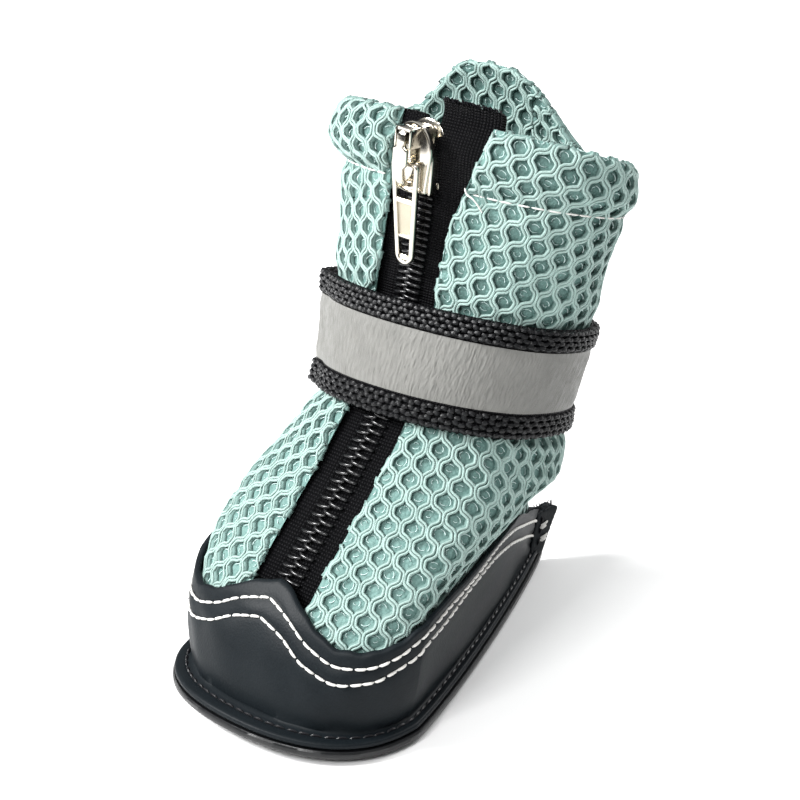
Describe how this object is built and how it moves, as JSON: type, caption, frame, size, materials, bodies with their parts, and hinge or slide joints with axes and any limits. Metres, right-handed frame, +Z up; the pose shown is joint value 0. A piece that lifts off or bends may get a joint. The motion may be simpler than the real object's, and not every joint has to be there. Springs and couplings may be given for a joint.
{
  "type": "dog boot",
  "caption": "Small soft dog boot with an air mesh upper, a front coil zip, a stitched rand with a heel fin, a flat rubber sole and an ankle strap.",
  "frame": {"origin": "on the ground under the sole, in the boot's middle plane, at the middle of the sole's length", "axes": "-Y towards the toe, +Y towards the heel fin, +Z up the shaft, +X to the side opposite the strap's free end"},
  "size_m": [0.0606, 0.0881, 0.1032],
  "materials": {
    "air_mesh": "pale mint warp-knitted air mesh, matt",
    "rand_sheet": "blue-black coated synthetic sheet, satin",
    "sole_rubber": "black moulded rubber, satin",
    "insole_felt": "dark felt, matt",
    "zip_tape": "black woven tape, matt",
    "zip_coil": "black nylon coil, slight sheen",
    "zip_metal": "nickel-plated die casting, polished rim",
    "strap_webbing": "black webbing with a grey reflective stripe"
  },
  "bodies": {
    "boot": {"upper": "air_mesh", "rand": "rand_sheet", "outsole": "sole_rubber", "insole": "insole_felt", "zip_tape_left": "zip_tape", "zip_tape_right": "zip_tape", "zip_coil": "zip_coil", "zip_slider": "zip_metal", "strap": "strap_webbing"},
    "pull": {"zip_pull": "zip_metal"}
  },
  "joints": [
    {"name": "pull_swing", "type": "hinge", "parent": "boot", "child": "pull", "pos_m": [0.00189, 0.00217, 0.0936], "axis": [-1, 0, 0], "range_deg": [0, 150]}
  ]
}
